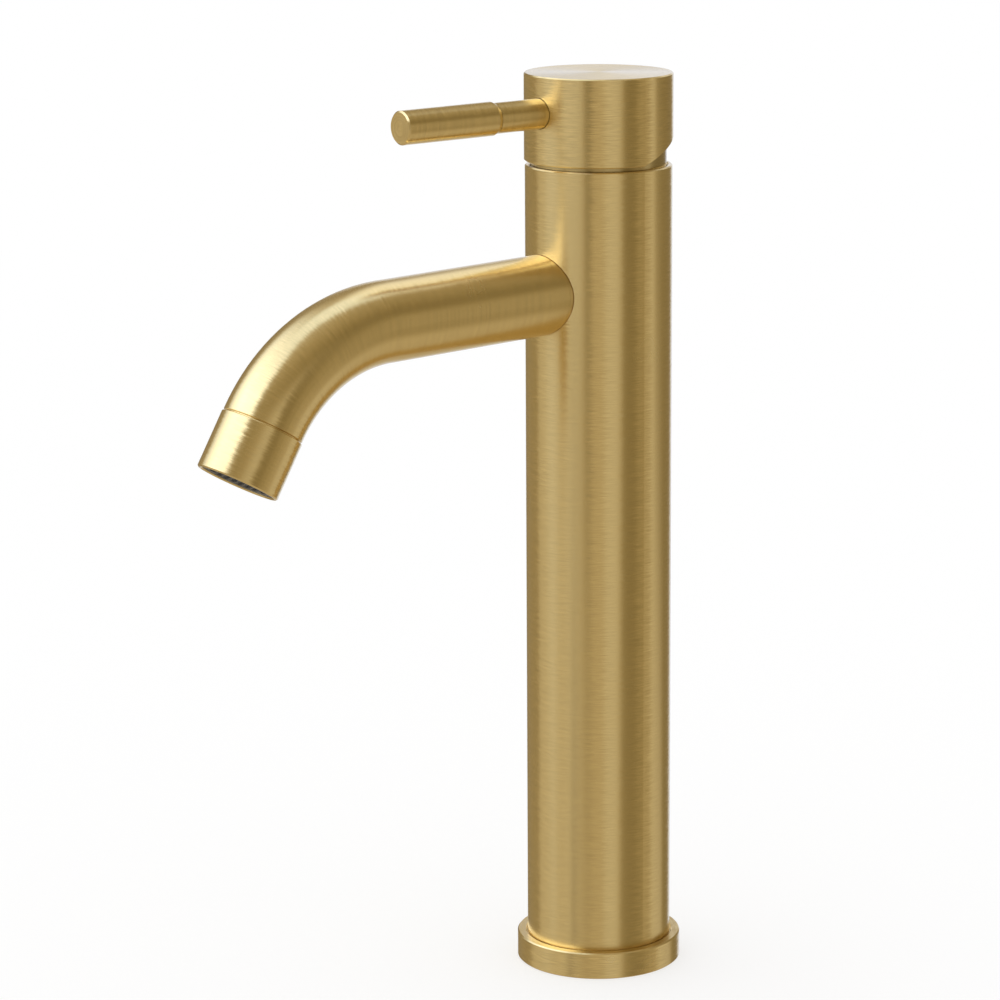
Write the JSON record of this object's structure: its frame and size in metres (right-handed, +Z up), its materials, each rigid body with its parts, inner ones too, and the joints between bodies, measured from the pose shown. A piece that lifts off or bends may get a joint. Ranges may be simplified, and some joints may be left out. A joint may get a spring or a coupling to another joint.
{
  "type": "bathroom mixer faucet",
  "caption": "Tall single-lever basin mixer in brushed gold: round column on a base ring, bent spout with aerator, tilting and turning cap with a rod lever over a ceramic cartridge.",
  "frame": {"origin": "on the column's axis at deck level, in the plane of the base ring's underside", "axes": "+Z up along the column; the spout and the lever point along -Y, so hot is at -X for a person who faces the spout"},
  "size_m": [0.0548, 0.1797, 0.2991],
  "materials": {
    "brushed_gold": "fine circumferential brushing, satin",
    "raw_brass": "machined",
    "seal_rubber": "matte",
    "white_plastic": "moulded",
    "grey_plastic": "moulded",
    "red_plastic": "moulded",
    "disc_ceramic": "lapped",
    "screw_steel": "plain"
  },
  "bodies": {
    "root": {"base_flange": "brushed_gold", "deck_gasket": "seal_rubber", "flange_o_ring": "seal_rubber", "body_tube": "brushed_gold", "base_insert": "raw_brass", "hot_riser_pipe": "raw_brass", "cold_riser_pipe": "raw_brass", "valve_body": "raw_brass", "spout_tube": "brushed_gold", "spout_nipple": "raw_brass", "spout_o_ring": "seal_rubber", "aerator_collar": "brushed_gold", "aerator_washer": "seal_rubber", "aerator_housing": "grey_plastic", "flow_regulator": "white_plastic", "aerator_screen": "grey_plastic", "cartridge_base": "white_plastic", "cartridge_seals": "seal_rubber", "fixed_disc": "disc_ceramic", "cartridge_housing": "white_plastic", "hot_limit_ring": "red_plastic", "retaining_nut": "raw_brass", "trim_ring": "brushed_gold"},
    "turret": {"spindle_turret": "grey_plastic", "spindle_pin": "screw_steel"},
    "handle": {"cartridge_spindle": "raw_brass", "handle_cap": "brushed_gold", "handle_grub_screw": "screw_steel", "lever_stem": "brushed_gold", "lever_grip": "brushed_gold"},
    "slider": {"disc_carrier": "white_plastic", "moving_disc": "disc_ceramic"}
  },
  "joints": [
    {"name": "temperature", "type": "hinge", "parent": "root", "child": "turret", "pos_m": [0, 0, 0.275], "axis": [0, 0, 1], "range_deg": [-45, 45]},
    {"name": "flow", "type": "hinge", "parent": "turret", "child": "handle", "pos_m": [0, 0, 0.275], "axis": [-1, 0, 0], "range_deg": [0, 22]},
    {"name": "disc_slide", "type": "slide", "parent": "turret", "child": "slider", "axis": [0, -1, 0], "range_m": [0, 0.00415]}
  ],
  "couplings": [
    {"joint": "disc_slide", "follows": "flow", "m_per_rad": 0.010732}
  ]
}
